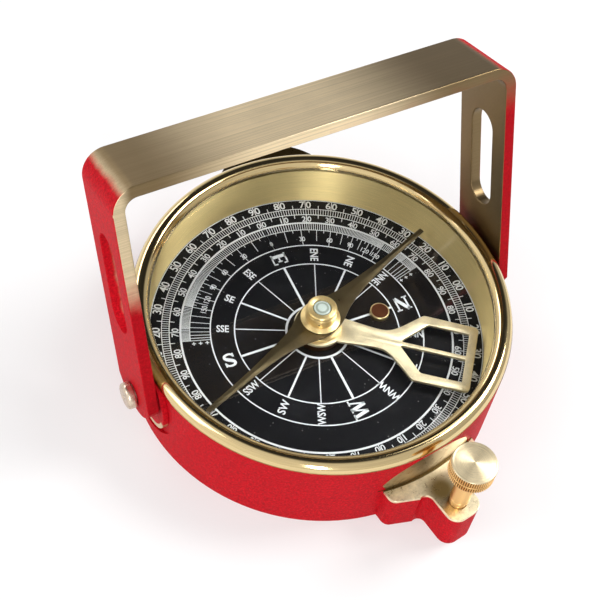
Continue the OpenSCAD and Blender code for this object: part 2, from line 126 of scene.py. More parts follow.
class CompassView(PropertyGroup):
    azimuth: angle("Azimuth", "Camera's turn round the compass", -35.289)
    elevation: angle("Elevation", "Camera's height above the horizon", 54.914)
    roll: angle("Roll", "Camera's turn about its own axis", 9.784)
    lens: FloatProperty(name="Lens", description="Focal length on a 36 mm sensor", default=78.48, min=20.0, max=300.0)
    place: FloatVectorProperty(
        name="Place", description="Where the camera stands", default=(-0.09322, -0.12336, 0.23963),
        subtype="TRANSLATION", unit="LENGTH")


class CompassDial(PropertyGroup):
    turn: angle("Turn", "Turn of the printed dial from the hinge line", -2.9)
    line: length("Line", "Width of a fine printed line", 0.00013, 0.00005, 0.0005)
    figure: length("Figure", "Height of the outer degree figures", 0.0019, 0.001, 0.003)
    ink: tint("Ink", "Colour of the printed marks", (0.72, 0.75, 0.78))


class CompassFinish(PropertyGroup):
    paint: tint("Paint", "Colour of the case paint", (0.50, 0.004, 0.011))
    brass: tint("Brass", "Colour of the plates' bright brass", (0.80, 0.63, 0.33))
    copper: tint("Copper", "Colour of the bronzed boss and screw", (0.17, 0.055, 0.028))


class CompassKnurl(PropertyGroup):
    teeth: IntProperty(name="Teeth", description="Number of knurl teeth", default=60, min=24, max=120)
    depth: length("Depth", "Depth of the knurl", 0.00030, 0.0, 0.0005)


def settings(group):
    """The view, dial, finish or knurl settings of the scene."""
    return getattr(bpy.context.scene, "compass_" + group)


# ---- mesh work


def link(name, data):
    """A new object in the scene."""
    item = bpy.data.objects.new(name, data)
    bpy.context.scene.collection.objects.link(item)
    return item


def coordinates(mesh):
    """A mesh's points."""
    points = np.zeros(len(mesh.vertices) * 3)
    mesh.vertices.foreach_get("co", points)
    return points.reshape(-1, 3)


@contextmanager
def editing(mesh):
    """The mesh as a bmesh, written back at the end."""
    work = bmesh.new()
    work.from_mesh(mesh)
    yield work
    work.to_mesh(mesh)
    work.free()


def coat(mesh, finish):
    """Gives the mesh one of the finishes."""
    mesh.materials.clear()
    mesh.materials.append(FINISH[finish])


def keep(mesh, name, body, finish, nodes=(), angle=35.0):
    """One finished piece, which rides on its body, with sharp edges where faces meet at more than the angle."""
    mesh.name = name
    mesh.polygons.foreach_set("use_smooth", np.ones(len(mesh.polygons), bool))
    mesh.set_sharp_from_angle(angle=radians(angle))
    mesh.update()
    coat(mesh, finish)
    piece = link(name, mesh)
    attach(piece, body)
    if nodes:
        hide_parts(*nodes)
    return piece


def sheet(parts):
    """A mesh in metres from (points, faces) pairs in millimetres."""
    mesh = bpy.data.meshes.new("sheet")
    points, faces, first = [], [], 0
    for p, f in parts:
        points.append(np.asarray(p, float).reshape(-1, 3))
        faces += [[int(i) + first for i in face] for face in f]
        first += len(points[-1])
    mesh.from_pydata((np.concatenate(points) * MM).tolist(), [], faces)
    return mesh


def skin(*parts):
    """A closed mesh from (points, faces) pairs, with doubles merged and normals outward."""
    mesh = sheet(parts)
    with editing(mesh) as work:
        bmesh.ops.remove_doubles(work, verts=work.verts, dist=1e-7)
        bmesh.ops.dissolve_degenerate(work, edges=work.edges, dist=1e-8)
        bmesh.ops.recalc_face_normals(work, faces=work.faces)
    return mesh


def grid(points, wrap_u=True, wrap_v=True):
    """Points on a (u, v) grid and the quads between neighbours, wrapping round where asked."""
    nu, nv = points.shape[:2]
    i, j = np.meshgrid(np.arange(nu - (not wrap_u)), np.arange(nv - (not wrap_v)), indexing="ij")
    i2, j2 = (i + 1) % nu, (j + 1) % nv
    quads = np.stack([i * nv + j, i2 * nv + j, i2 * nv + j2, i * nv + j2], -1).reshape(-1, 4)
    return points.reshape(-1, 3), quads


def soften(corners, radius, steps=4):
    """Rounds a closed outline: each corner becomes a quadratic curve between points at most radius
    before and after it."""
    c = np.asarray(corners, float)
    radius = np.broadcast_to(np.asarray(radius, float), len(c))[:, None]
    ends = []
    for way in (1, -1):
        to = np.roll(c, way, 0) - c
        far = np.linalg.norm(to, axis=1, keepdims=True)
        ends.append((c + to / far * np.minimum(radius, far * 0.49))[:, None])
    t = np.linspace(0, 1, steps + 1)[None, :, None]
    curve = (1 - t) ** 2 * ends[0] + 2 * t * (1 - t) * c[:, None] + t ** 2 * ends[1]
    return curve.reshape(-1, c.shape[1])


def rays(angles, radius=1.0):
    """Points at the angles round the origin."""
    return np.stack([radius * np.cos(angles), radius * np.sin(angles)], -1)


def circle(steps, radius=1.0):
    """Points of a circle."""
    return rays(np.linspace(0, TURN, steps, endpoint=False), radius)


def upright(flat, height=0.0):
    """Flat points at a height."""
    return np.concatenate([flat, 0 * flat[..., :1] + height], -1)


def turned(profile, steps=192, wrap=True, centre=(0.0, 0.0)):
    """A profile of (radius, height) carried once round a vertical axis through the centre."""
    r, z = np.asarray(profile, float).T[..., None]
    return grid(upright(circle(steps)[:, None] * r + np.asarray(centre), z), True, wrap)


def spun(along, across, height, turn):
    """Points given along and across an arm, turned about the pivot, at a height."""
    c, s = cos(turn), sin(turn)
    return np.stack([along * c - across * s, along * s + across * c, height], -1)


def bevel(piece, name, width, segments, limit):
    """A bevel modifier; the width is in millimetres."""
    modifier = piece.modifiers.new(name, "BEVEL")
    modifier.width, modifier.segments, modifier.limit_method = width * MM, segments, limit
    modifier.harden_normals = True
    return modifier


def dressed(node, name, body, finish, ease=0.0, segments=2):
    """A merged copy of a CAD node with eased edges, which stands for the node."""
    sharp = 30.0
    mesh = frame["nodes"][node].data.copy()
    with editing(mesh) as work:
        bmesh.ops.remove_doubles(work, verts=work.verts, dist=2e-6)
        bmesh.ops.dissolve_degenerate(work, edges=work.edges, dist=1e-7)
        bmesh.ops.dissolve_limit(work, angle_limit=radians(0.3), verts=work.verts, edges=work.edges)
    if "custom_normal" in mesh.attributes:
        mesh.attributes.remove(mesh.attributes["custom_normal"])
    piece = keep(mesh, name, body, finish, (node,), sharp)
    if ease:
        eased = bevel(piece, "Eased edges", ease, segments, "ANGLE")
        eased.angle_limit, eased.loop_slide = radians(sharp), False
    return piece


def rim_edges(piece, chosen, width):
    """A wider rounding, put before the others, on the sharp edges whose two ends are both chosen."""
    mesh = piece.data
    ends = np.zeros(len(mesh.edges) * 2, int)
    mesh.edges.foreach_get("vertices", ends)
    on = chosen(coordinates(mesh) / MM)[ends.reshape(-1, 2)].all(1)
    work = bmesh.new()
    work.from_mesh(mesh)
    turns = np.array([edge.calc_face_angle(0.0) for edge in work.edges])
    work.free()
    layer = mesh.attributes.new("bevel_weight_edge", "FLOAT", "EDGE")
    layer.data.foreach_set("value", (on & (turns > 0.6)).astype(np.float32))
    bevel(piece, "Rounded rim", width, 4, "WEIGHT")
    piece.modifiers.move(len(piece.modifiers) - 1, 0)


def face_data(mesh):
    """Centres in millimetres and normals of a mesh's faces."""
    centres, normals = np.zeros((2, len(mesh.polygons) * 3))
    mesh.polygons.foreach_get("center", centres)
    mesh.polygons.foreach_get("normal", normals)
    return centres.reshape(-1, 3) / MM, normals.reshape(-1, 3)


def mark(mesh, name, values):
    """A value per face that a material reads by name."""
    mesh.attributes.new(name, "FLOAT", "FACE").data.foreach_set("value", np.asarray(values, np.float32))


# ---- shader work


class Flow:
    """An output socket in a node tree. Its operators and methods add nodes that start from it."""

    def __init__(self, socket):
        self.socket, self.tree = socket, socket.id_data

    def __getitem__(self, key):
        return Flow(self.socket.node.outputs[key])

    def math(self, operation, *others, clamp=False):
        """A Math node with this as its first value."""
        values = dict(enumerate((self, *others)))
        return put(self.tree, "ShaderNodeMath", values, operation=operation, use_clamp=clamp)

    __add__ = partialmethod(math, "ADD")
    __mul__ = partialmethod(math, "MULTIPLY")
    __sub__ = partialmethod(math, "SUBTRACT")
    __truediv__ = partialmethod(math, "DIVIDE")

    def __rsub__(self, other):
        return put(self.tree, "ShaderNodeMath", {0: other, 1: self}, operation="SUBTRACT")

    def __rtruediv__(self, other):
        return put(self.tree, "ShaderNodeMath", {0: other, 1: self}, operation="DIVIDE")

    def ramp(self, low, high):
        """0 before low, 1 after high and a smooth step between."""
        inputs = {"Value": self, "From Min": low, "From Max": high}
        return put(self.tree, "ShaderNodeMapRange", inputs, interpolation_type="SMOOTHSTEP")

    def step(self, low, high):
        """A ramp between two places in millimetres."""
        return self.ramp(low * MM, high * MM)

    def mix(self, a, b):
        """From colour a to colour b by this."""
        return put(self.tree, "ShaderNodeMix", {0: self, 6: a, 7: b}, data_type="RGBA")[2]

    def blend(self, a, b):
        """From value a to value b by this."""
        return put(self.tree, "ShaderNodeMix", {0: self, 2: a, 3: b})

    def times(self, gain):
        """This colour times one value or three."""
        gain = (gain,) * 3 if isinstance(gain, float) else gain
        return put(self.tree, "ShaderNodeVectorMath", {0: self, 1: gain}, operation="MULTIPLY")

    def parts(self):
        """X, Y and Z of this vector."""
        whole = put(self.tree, "ShaderNodeSeparateXYZ", {0: self})
        return [whole[k] for k in range(3)]

    def noise(self, scale, detail, roughness=0.5):
        """Noise at this vector."""
        inputs = {"Vector": self, "Scale": scale, "Detail": detail, "Roughness": roughness}
        return put(self.tree, "ShaderNodeTexNoise", inputs)

    def use(self, label, **inputs):
        """A shared group at this vector, with its own values."""
        inputs["Vector"] = self
        return put(self.tree, "ShaderNodeGroup", inputs, node_tree=bpy.data.node_groups[label])

    def polar(self, centre=(0.0, 0.0)):
        """Radius, unit direction and height about a vertical axis."""
        place = self.use("Place round an axis", Centre=(*centre, 0.0))
        return [place[key] for key in ("Radius", "X", "Y", "Z")]

    def face_value(self, name):
        """A value that the mesh's faces carry."""
        return put(self.tree, "ShaderNodeAttribute", attribute_name=name)["Fac"]

    def bump(self, distance, strength=1.0):
        """The normal over this height."""
        return put(self.tree, "ShaderNodeBump", {"Height": self, "Distance": distance, "Strength": strength})


def wire(node, inputs):
    """Links the inputs that are given as a Flow and sets the others."""
    for key, value in inputs.items():
        if isinstance(value, Flow):
            node.id_data.links.new(value.socket, node.inputs[key])
        else:
            node.inputs[key].default_value = value


def put(tree, kind, inputs=None, **options):
    """A node with its options and inputs, as its first output."""
    node = tree.nodes.new(kind)
    for key, value in options.items():
        setattr(node, key, value)
    wire(node, inputs or {})
    return Flow(node.outputs[0])


def fine_grain(i):
    """Irregular grain from two sizes of noise, and its high spots as a mask."""
    scale = 1.0 / i["Size"]
    height = i["Vector"].noise(scale * 3.1, 1.0) * 0.35 + i["Vector"].noise(scale, 3.0, 0.6) * 0.65
    return {"Height": height, "Specks": height.ramp(0.62, 0.74)}


def brushed_lines(i):
    """Brushed lines: noise stretched by the caller's vector."""
    return {"Height": i["Vector"].noise(1.0, 4.0, 0.7)}


def tarnish(i):
    """Soft patches of tarnish and handling, and dots of dust."""
    place = i["Vector"]
    patch = place.noise(1.0 / i["Size"], 5.0, 0.6).ramp(0.72 - i["Amount"] * 0.4, 0.8)
    dots = put(place.tree, "ShaderNodeTexVoronoi", {"Vector": place, "Scale": 900.0, "Randomness": 1.0})
    return {"Patch": patch, "Dust": (1.0 - dots.ramp(0.06, 0.16)) * place.noise(400.0, 0.0).ramp(0.60, 0.68)}


def round_axis(i):
    """Radius and unit direction about a vertical axis through the centre, and height."""
    (x, y, z), middle = i["Vector"].parts(), i["Centre"].parts()
    x, y = x - middle[0], y - middle[1]
    radius = (x * x + y * y).math("SQRT")
    safe = radius.math("MAXIMUM", 0.00001)
    return {"Radius": radius, "X": x / safe, "Y": y / safe, "Z": z}


def brushed_brass(i):
    """Brass with brushed lines, deepened by Tone, and patches of tarnish that darken and dull it."""
    colour, tone, patch = i["Colour"], i["Tone"], i["Patch"]
    lines = i["Lines"].use("Brushed lines")
    stain = i["Vector"].use("Tarnish and dust", Size=0.009, Amount=patch)
    toned = lines.ramp(0.3, 0.7).mix(colour.times(1.0 - tone), colour.times(tone * 0.3 + 1.0))
    rough = lines * 0.16 + (i["Roughness"] - 0.08)
    return {"Colour": (stain * patch).mix(toned, colour.times(0.45)),
            "Roughness": (stain * 0.10).math("ADD", rough, clamp=True), "Height": lines}


def paint_over_brass(i):
    """Fine textured paint over brushed brass. Mask is 1 where painted. Shade is painted light on the bare metal:
    1 where it is painted bright, 0 where it is painted in shade. On faces marked as front faces the paint is darkened
    as painted shade."""
    place, mask, paint, bare = (i[key] for key in ("Vector", "Mask", "Paint", "Bare"))
    grain = place.use("Fine grain", Size=0.00045)
    wide = place.use("Tarnish and dust", Size=0.02, Amount=0.9)
    coat = grain.ramp(0.30, 0.70).mix(paint.times(0.56), paint.times(1.32))
    coat = (wide * 0.3).mix(coat, paint.times(0.80))
    # painted glints: the grain's high spots are painted a paler pink red, as sparkle on the paint
    coat = (grain["Specks"] * 0.7).mix(coat, paint.times((1.7, 12.0, 8.0)))
    # painted shade: the paint on faces marked as front faces is darkened
    coat = (i["Front"] * 0.5).mix(coat, paint.times(0.45))
    lines = i["Lines"].use("Brushed lines")
    stain = place.use("Tarnish and dust", Size=0.012, Amount=0.6)
    metal = lines.ramp(0.3, 0.7).mix(bare.times(0.78), bare.times(1.10))
    metal = (stain * 0.3).mix(metal, bare.times(0.6))
    # painted shade: where Shade is low the bare metal is painted a dark dull brown
    metal = i["Shade"].mix(bare.times((0.13, 0.098, 0.05)), metal)
    bare_part = 1.0 - mask
    rough = mask.blend(lines * 0.2 - 0.1 + i["Roughness"], grain * 0.25 + 0.40)
    return {"Colour": mask.mix(metal, coat), "Metallic": bare_part, "Roughness": rough,
            "Height": grain * mask + lines * (bare_part * 0.08)}


SHARED = {
    "Fine grain": (fine_grain, "Vector Size"),
    "Brushed lines": (brushed_lines, "Vector"),
    "Tarnish and dust": (tarnish, "Vector Size Amount"),
    "Place round an axis": (round_axis, "Vector Centre"),
    "Brushed brass": (brushed_brass, "Vector Lines Colour Tone Patch Roughness"),
    "Paint over brass": (paint_over_brass, "Vector Lines Mask Shade Front Paint Bare Roughness"),
}
SOCKETS = {"Vector": ("Vector", "Lines", "Centre"), "Color": ("Colour", "Paint", "Bare")}


def share(label, build, names):
    """Makes a shader group: build turns its inputs, by name, into its outputs, by name."""
    tree = bpy.data.node_groups.new(label, "ShaderNodeTree")

    def add(way, names):
        for name in names:
            kind = next((kind for kind, members in SOCKETS.items() if name in members), "Float")
            tree.interface.new_socket(name=name, in_out=way, socket_type="NodeSocket" + kind)

    add("INPUT", names)
    entry = tree.nodes.new("NodeGroupInput")
    outputs = build({name: Flow(entry.outputs[name]) for name in names})
    add("OUTPUT", outputs)
    wire(tree.nodes.new("NodeGroupOutput"), outputs)


def colour4(value, gain=1.0):
    """A colour times a gain, with its alpha."""
    return (value[0] * gain, value[1] * gain, value[2] * gain, 1.0)


def start(name, metallic, roughness, ior=1.5):
    """A material, its Principled shader and its object coordinates."""
    material = bpy.data.materials.new(name)
    material.use_nodes = True
    shader = material.node_tree.nodes["Principled BSDF"]
    wire(shader, {"Metallic": metallic, "Roughness": roughness, "IOR": ior})
    return material, shader, put(material.node_tree, "ShaderNodeTexCoord")["Object"]


def brass(name, colour, roughness, stretch, tone, patch, depth=4e-6, way="straight", centre=(0.0, 0.0), spread=0.0,
          retone=None):
    """Brass with brushed lines: straight ones by stretch, turned ones round the centre or radial ones.
    Spread draws the highlights out across the lines, and retone changes the colour by place."""
    material, shader, place = start(name, 1.0, roughness)
    if way == "straight":
        lines = put(place.tree, "ShaderNodeMapping", {"Vector": place, "Scale": stretch})
    else:
        radius, dx, dy, z = place.polar(centre)
        across = (radius, dx, z) if way == "turned" else (dx, dy, z)
        lines = put(place.tree, "ShaderNodeCombineXYZ", {k: part * stretch[k] for k, part in enumerate(across)})
    if spread:
        wire(shader, {"Anisotropic": spread, "Anisotropic Rotation": 0.25})
    metal = place.use(
        "Brushed brass", Lines=lines, Colour=colour4(colour), Tone=tone, Patch=patch, Roughness=roughness)
    wire(shader, {"Base Color": retone(place, metal) if retone else metal, "Roughness": metal["Roughness"],
                  "Normal": metal["Height"].bump(depth)})
    return material


def knob_tone_and_groove_shade(place, before):
    """Orange below the thumb screw's rim, and painted shade, a dark brown, in the knurl's grooves."""
    radius, _, _, z = place.polar(THUMB[:2] * MM)
    # painted shade: dark at the bottoms of the knurl's teeth and in the grooves between the bands
    groove_shade = radius.step(4.45, 4.25) * radius.step(3.9, 4.2)
    toned = groove_shade.mix((0.874, 0.5544, 0.23, 1.0), (0.3312, 0.1848, 0.06, 1.0))
    return z.step(THUMB_TOP - 0.25, THUMB_TOP - 0.45).mix(before, toned)


def painted_brass(name, mask, shade, bare, bare_rough, stretch):
    """Textured paint over brass, with its paint mask and its painted light on the bare metal (shade) as functions of
    the place.
    """
    material, shader, place = start(name, 0.0, 0.4)
    lines = put(place.tree, "ShaderNodeMapping", {"Vector": place, "Scale": stretch})
    layers = place.use(
        "Paint over brass", Lines=lines, Mask=mask(place), Shade=shade(place), Bare=colour4(bare),
        Roughness=bare_rough, Front=place.face_value("front_face"), Paint=colour4(settings("finish").paint))
    wire(shader, {"Specular IOR Level": 0.05, "Base Color": layers["Colour"], "Metallic": layers["Metallic"],
                  "Roughness": layers["Roughness"], "Normal": layers["Height"].bump(0.00012, 0.9)})
    return material


def case_mask(place):
    """Painted unless the face is marked bare, or lies on the lug's rounded upper edge."""
    radius, _, dy, z = place.polar()
    edge = z.step(LUG_H - 0.75, LUG_H - 0.70) * radius.step(CASE_R, CASE_R + 0.1)
    edge = edge * (1.0 - z.step(LUG_H + 0.05, LUG_H + 0.1)) * (1.0 - dy.ramp(-0.5, -0.45))
    return place.face_value("paint").ramp(0.4, 0.6) * (1.0 - edge)


def seat_mask(place):
    """Painted except on the lower part of the plate's rim, by its radius about the hinge line."""
    _, y, z = place.parts()
    up = z - HINGE_Z * MM
    return 1.0 - (up * up + y * y).math("SQRT").step(7.4, 7.6) * up.step(-1.0, -2.6)


def case_painted_light(place):
    """Painted light on the case's bare brass: painted shade dulls the wall above the lug, more to the right, and the
    rear lobe's top, and a dark line runs at the wall's foot. The lug's top is painted a little darker than its
    rounded rim, a painted highlight, and darker still beside the screw as painted shade."""
    radius, dx, dy, z = place.polar()
    # painted shade: the brass field above the lug is dulled, more to the right, and the rear lobe's top fully, with a
    # dark line at the wall's foot
    foot = z.step(LUG_H + 0.25, LUG_H + 0.05) * radius.step(CASE_R + 0.35, CASE_R + 0.2)
    field_shade = dx.ramp(-0.04, 0.08) * 0.35 + 0.60
    wall = 1.0 - z.step(LUG_H + 0.1, LUG_H + 0.3) * field_shade
    wall = wall * (1.0 - dy.ramp(0.3, 0.5)) * (1.0 - foot)
    # painted shade on the lug's top beside the screw; the lug's rounded rim stays fully bright as a painted highlight
    beside = place.polar((THUMB[:2] + (-1.7, 3.5)) * MM)[0]
    top = beside.step(1.2, 5.6) * 0.84
    return wall * top.math("MAXIMUM", z.step(LUG_H - 0.03, LUG_H - 0.12))


def bail_painted_light(place):
    """Painted light on the strap's bare brass: a painted highlight in the middle and on the left leg, painted shade
    at the ends and under the crossbar.
    """
    x = place.parts()[0]
    # painted highlight across the middle of the strap, taken off the inner faces as painted shade under the crossbar
    middle = x.step(-34.0, -10.0) * (1.0 - x.step(2.0, 28.0)) * (1.0 - place.face_value("inner_face"))
    leg = 1.0 - x.step(-40.5, -38.0)
    return (leg * 0.6).math("ADD", middle * 0.86 + 0.11, clamp=True)


def bail_mask(place):
    """Painted on the outer sides of the legs and round the corners and, up to a ragged line, on
    the legs' edges, where the right leg's line is the higher one."""
    x, y, z = place.parts()
    rag = place.noise(300.0, 3.0)
    side = x.math("ABSOLUTE") - x.step(1.0, 0.0) * 0.0014
    outer = (rag * 0.0010 + side).step(LEG_OUT - 3.9, LEG_OUT - 2.3) * (1.0 - place.face_value("inner_face"))
    along = y * sin(LEAN) + (z - HINGE_Z * MM) * cos(LEAN)
    along = x.step(0.0, 1.0) * place.face_value("front_face") * -0.0165 + along
    return place.face_value("edge_face").blend(outer, 1.0 - (rag * 0.004 + along).step(26.0, 37.0))


def plain(name, colour, metallic, roughness, size=0.0006, depth=6e-6, tone=0.2):
    """A fine grained finish: the grain changes colour, roughness and height a little."""
    material, shader, place = start(name, metallic, roughness)
    grain = place.use("Fine grain", Size=size)
    wire(shader, {"Base Color": grain.mix(colour4(colour, 1 - tone), colour4(colour, 1 + tone)),
                  "Roughness": grain * 0.2 + (roughness - 0.1), "Normal": grain.bump(depth)})
    return material


def bronzed_face(copper, rim):
    """The dial screw's bronzed face inside its bright rim: the place of the change is a radius."""
    material, shader, place = start("Bronzed screw face", 1.0, 0.35)
    low, high = reach("dial_screw")
    r = (high[0] - low[0]) / 2
    edge = place.polar((low + high)[:2] / 2 * MM)[0].step(r - 0.30, r - 0.22)
    grain = place.use("Fine grain", Size=0.0007)
    face = grain.mix(colour4(copper, 0.6), colour4(copper, 1.5))
    wire(shader, {"Base Color": edge.mix(face, colour4(rim)), "Normal": grain.bump(1e-5)})
    return material


def dial_enamel():
    """Black dial enamel with a faint mottle, dots of dust and a satin gloss."""
    material, shader, place = start("Dial enamel", 0.0, 0.28)
    stain = place.use("Tarnish and dust", Size=0.008, Amount=0.7)
    base = stain.mix((0.005, 0.005, 0.0065, 1.0), (0.009, 0.009, 0.011, 1.0))
    dusty = (stain["Dust"] * 0.5).mix(base, (0.30, 0.29, 0.28, 1.0))
    wire(shader, {"Specular IOR Level": 0.15, "Base Color": dusty, "Roughness": stain * 0.08 + 0.30,
                  "Normal": place.use("Fine grain", Size=0.0008).bump(2e-6)})
    return material


def clear(name, colour, roughness, ior, transmission, retone=None):
    """Clear or tinted glass, whose colour retone may change by place."""
    material, shader, place = start(name, 0.0, roughness, ior)
    colour = retone(place) if retone else colour4(colour)
    wire(shader, {"Base Color": colour, "Transmission Weight": transmission})
    return material


def lens_tone_and_painted_ring(place):
    """Pale, with painted shade for the lens's refraction: a darker ring where the lens bends the view and a dark
    edge, by its radius.
    """
    radius = place.polar()[0]
    # painted shade: a dark ring between radius 1.1 and 1.3 mm and the edge beyond 1.7 mm
    ring = radius.step(0.8, 1.1) * radius.step(1.5, 1.3) * 0.6
    return ring.math("MAXIMUM", radius.step(1.6, 1.8)).mix((0.46, 0.53, 0.49, 1.0), (0.10, 0.12, 0.09, 1.0))


def make_finishes():
    """Builds the shared groups and every finish, and returns the finishes by name."""
    for label, (build, names) in SHARED.items():
        share(label, build, names.split())
    f = settings("finish")
    even, fine = (900,) * 3, (500,) * 3
    return {
        "case": painted_brass("Body paint over brass", case_mask, case_painted_light, (0.98, 0.84, 0.56), 0.30, even),
        "bail": painted_brass(
            "Bail paint over brass with painted light", bail_mask, bail_painted_light, (0.95, 0.77, 0.50), 0.36, (18, 4200, 4200)),
        "seat": painted_brass("Painted hinge plate", seat_mask, lambda place: 0.85, f.brass, 0.30, even),
        "bezel": brass(
            "Polished bezel brass", (0.80, 0.62, 0.32), 0.10, (9000, 3, 9000), 0.12, 0.4, 1.5e-6, "turned"),
        "wall": brass(
            "Brushed wall brass", (0.82, 0.66, 0.32), 0.55, (5, 5, 5200), 0.12, 0.1, 1.5e-6, "radial", spread=0.95),
        "pendulum": brass("Brushed pendulum brass", (0.97, 0.84, 0.56), 0.44, fine, 0.12, 0.12, 1e-6),
        "needle": brass("Bronzed needle brass", (0.17, 0.132, 0.072), 0.30, (260,) * 3, 0.18, 0.1, 6e-7),
        "cap": brass(
            "Turned cap brass", (0.96, 0.73, 0.35), 0.40, (12000, 2, 12000), 0.15, 0.1, 3e-6, "turned", spread=0.8),
        "thumb": brass(
            "Turned screw brass", (0.92, 0.77, 0.50), 0.42, (14000, 2, 14000), 0.25, 0.15, 4e-6, "turned",
            THUMB[:2] * MM, 0.8, knob_tone_and_groove_shade),
        "screw": brass("Pale screw brass", (0.70, 0.58, 0.45), 0.28, even, 0.2, 0.4),
        "plate": brass("Bright plate brass", f.brass, 0.27, fine, 0.2, 0.3),
        "copper": brass("Bronzed copper", f.copper, 0.36, (9000, 2, 9000), 0.3, 0.5, way="turned"),
        "copper_head": bronzed_face(f.copper, f.brass),
        # painted shade: a near black finish for sheets that stand for the shade inside holes and pits
        "pit": plain("Painted shade in holes and pits", (0.03, 0.025, 0.02), 0.0, 0.6),
        "steel": plain("Spring steel", (0.55, 0.55, 0.57), 1.0, 0.3),
        "enamel": dial_enamel(),
        "ink": plain("White dial ink", settings("dial").ink, 0.0, 0.5, size=0.0003, tone=0.08),
        "glass": clear("Clear glass", (0.985, 1.0, 0.995), 0.0, 1.5, 1.0),
        "lens": clear("Cap lens", None, 0.12, 1.4, 0.15, lens_tone_and_painted_ring),
        "jewel": clear("Cap jewel", (0.50, 0.03, 0.07), 0.05, 1.76, 0.5),
    }


FINISH = {}


# ---- pieces


class COMPASS_OT_finishes(Operator):
    """Build the shared shader groups and the finishes"""
    bl_idname = "compass.finishes"
    bl_label = "Finishes"

    def execute(self, context):
        FINISH.update(make_finishes())
        return {"FINISHED"}


def lug_rim(q):
    """Whether points lie on the lug's upper outline."""
    return (np.abs(q[:, 2] - LUG_H) < 0.02) & (q[:, 1] < LUG_Y) & (np.hypot(q[:, 0], q[:, 1]) > CASE_R + 0.02)


class COMPASS_OT_case(Operator):
    """Case with eased edges, bare brass lug top, wall field and hinge seats"""
    bl_idname = "compass.case"
    bl_label = "Painted case"

    def execute(self, context):
        piece = dressed("case_body", "case_shell", "case", "case", ease=0.3)
        rim_edges(piece, lug_rim, 0.7)
        c, n = face_data(piece.data)
        radius, front, level = np.hypot(c[:, 0], c[:, 1]), c[:, 1] < LUG_Y, n[:, 2] > 0.9
        lug_top = (np.abs(c[:, 2] - LUG_H) < 0.02) & level & front
        wall = (radius > CASE_R - 0.4) & (radius < CASE_R - 0.08) & (c[:, 2] > LUG_H)
        field = wall & front & (c[:, 0] > FIELD_X)
        lobe_top = level & (c[:, 1] > 36) & (radius > CASE_R) & (c[:, 2] > 6)
        inside = (radius < 37.6) & (c[:, 2] > 0.5)
        mark(piece.data, "paint", 1.0 - (lug_top | field | lobe_top | inside))
        dressed("bail_spacers", "hinge_plates", "case", "seat", ease=0.12)
        return {"FINISHED"}


class COMPASS_OT_bezel(Operator):
    """Half round bezel, the thin ring over the glass, the glass and the wall ring under it"""
    bl_idname = "compass.bezel"
    bl_label = "Bezel and glass"

    def execute(self, context):
        low, high = reach("bezel")
        r = 1.9
        mid, flank = high[0] - r, high[2] - r
        arch = rays(np.linspace(0, pi, 25), r) + [mid, flank]
        inner = mid - r
        tail = [[inner + 0.05, flank + 0.5], [inner + 0.9, flank + 0.42], [inner + 0.9, low[2]],
                [inner + 1.8, low[2]], [inner + 1.8, flank]]
        arch = skin(turned(np.concatenate([arch, tail]), 256))
        keep(arch, "bezel_ring", "case", "bezel", ("bezel",), 40)
        for node, name, finish, slot, inner, ease in (
                ("glass_ring", "glass_rim", "bezel", "polished_brass", 35.55, 0.08),
                ("spacer_ring", "wall_ring", "wall", "brushed_brass", 35.6, 0.05)):
            low, high = levels(node)
            ring = soften([[inner, low], [RING_R, low], [RING_R, high], [inner, high]], ease, 2)
            keep(skin(turned(ring, 256)), name, "case", finish, (node,), 40)
        glass = frame["nodes"]["glass"]
        coat(glass.data, "glass")
        glass.visible_shadow = False
        return {"FINISHED"}


def arc_band(r, width, a0=0.0, a1=360.0):
    """A flat ring or arc: radius r with half the width either side, between two angles in degrees."""
    a = np.radians(np.linspace(a0, a1, max(2, int(abs(a1 - a0)) + 1)))[:, None]
    points, quads = grid(upright(rays(a, np.array([[r - width / 2, r + width / 2]]))), False, False)
    return points, quads[:, ::-1]


def tick_marks(angles, r0, r1, width):
    """Thin radial bars at the angles, in degrees, from r0 to r1."""
    a = np.radians(np.asarray(angles, float))
    d, s = rays(a), rays(a + pi / 2, width / 2)
    corners = np.stack([d * r0 - s, d * r1 - s, d * r1 + s, d * r0 + s], 1)
    return upright(corners).reshape(-1, 3), np.arange(len(a) * 4).reshape(-1, 4)


def filled(curve):
    """Points and faces of a curve or text, which is then removed."""
    holder = link("holder", curve)
    bpy.context.view_layer.update()
    mesh = bpy.data.meshes.new_from_object(holder.evaluated_get(bpy.context.evaluated_depsgraph_get()))
    points, faces = coordinates(mesh), [list(p.vertices) for p in mesh.polygons]
    bpy.data.objects.remove(holder)
    bpy.data.curves.remove(curve)
    bpy.data.meshes.remove(mesh)
    return points, faces


@lru_cache(None)
def glyph(words, bold):
    """Points and faces of a short text, one unit high and centred on the origin."""
    text = bpy.data.curves.new("figures", "FONT")
    text.body, text.size, text.offset, text.resolution_u = words, 1.0, bold, 3
    points, faces = filled(text)
    points -= (points.max(0) + points.min(0)) / 2
    return points / np.ptp(points[:, 1]), faces


def lettering(words, size, bold):
    """A short text at the given height."""
    points, faces = glyph(words, bold)
    return points * size, faces


def placed(mark, radius, angle, turn, squeeze=1.0):
    """A mark moved out to the radius at the angle, turned so that it reads along the turn, in degrees."""
    points, faces = mark
    x, a = points[:, 0] * squeeze, radians(angle)
    return spun(x, points[:, 1], 0 * x, radians(turn)) + [radius * cos(a), radius * sin(a), 0], faces


def stroke(path, width):
    """A pen stroke: two edges half the width either side of a path, square to its direction."""
    path = np.asarray(path, float)
    along = np.gradient(path, axis=0)
    along /= np.linalg.norm(along, axis=1, keepdims=True)
    off = np.stack([-along[:, 1], along[:, 0]], -1) * np.broadcast_to(width, len(path))[:, None] / 2
    return grid(upright(np.stack([path + off, path - off], 1)), False, False)


PEN, SLAB = 0.24, 0.10
